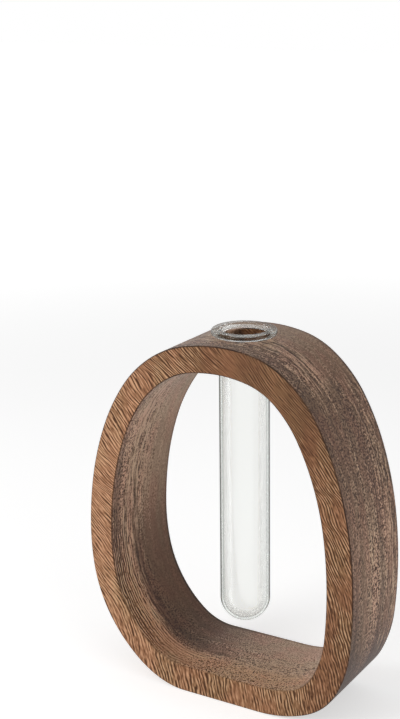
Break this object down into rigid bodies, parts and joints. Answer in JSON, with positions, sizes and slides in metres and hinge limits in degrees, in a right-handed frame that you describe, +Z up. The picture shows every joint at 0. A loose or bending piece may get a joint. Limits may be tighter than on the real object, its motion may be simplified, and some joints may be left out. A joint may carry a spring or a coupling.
{
  "type": "test tube vase",
  "caption": "Bud vase: a flanged glass test tube hangs in a hole through the crown of a thick, pebble-shaped ring cut from one block of brown hardwood.",
  "frame": {"origin": "middle of the footprint, on the surface that the vase stands on", "axes": "+Z up along the tube, +X to the right across the ring as seen from its front, and -Y is the front; the ring's two flat faces look towards -Y and +Y"},
  "size_m": [0.1508, 0.053, 0.1905],
  "materials": {
    "hardwood": "satin",
    "clear_glass": "gloss"
  },
  "bodies": {
    "ring": {"wooden_ring": "hardwood"},
    "tube": {"glass_tube": "clear_glass"}
  },
  "joints": [
    {"name": "tube_lift", "type": "slide", "parent": "ring", "child": "tube", "axis": [0, 0, 1], "range_m": [0, 0.17]}
  ]
}
